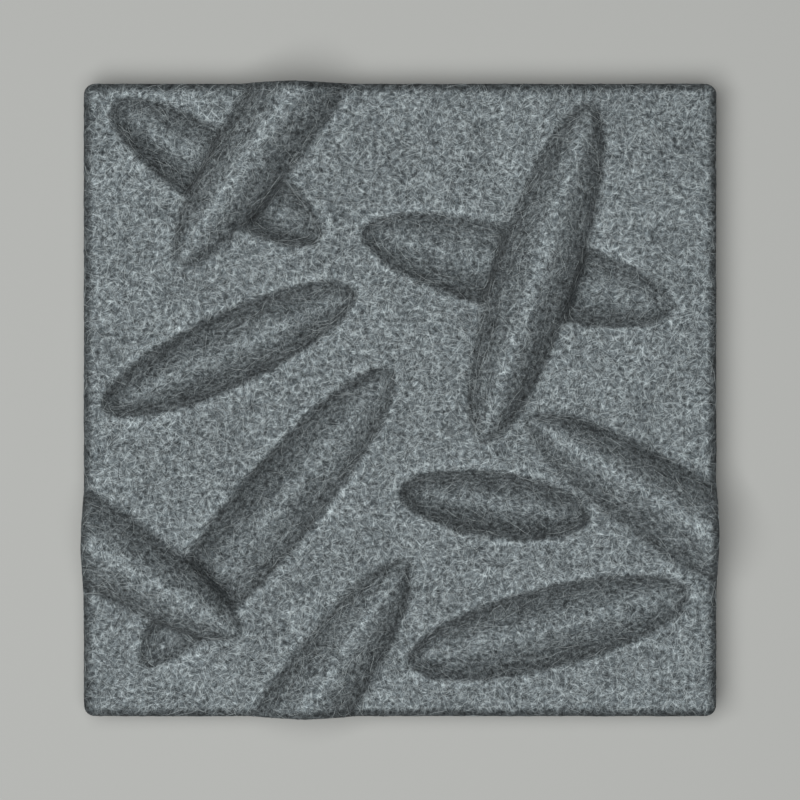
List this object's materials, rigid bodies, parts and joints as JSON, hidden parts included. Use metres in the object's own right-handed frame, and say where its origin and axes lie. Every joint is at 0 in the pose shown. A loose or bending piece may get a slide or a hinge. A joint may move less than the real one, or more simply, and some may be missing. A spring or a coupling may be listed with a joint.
{
  "type": "acoustic panel",
  "caption": "Square pressed-felt acoustic wall panel, open at the back, with long raised and sunken ovals that carry on over its borders into the next panel.",
  "frame": {"origin": "middle of the back rim's plane, under the middle of the square face", "axes": "+X to the right on the face, +Y up the face as the panel hangs on a wall, +Z out of the face; the panel lies on its back"},
  "size_m": [0.585, 0.585, 0.09],
  "materials": {
    "felt": "matte grey melange felt, pressed, with fine fibres"
  },
  "bodies": {
    "root": {"felt_panel": "felt"}
  },
  "joints": []
}
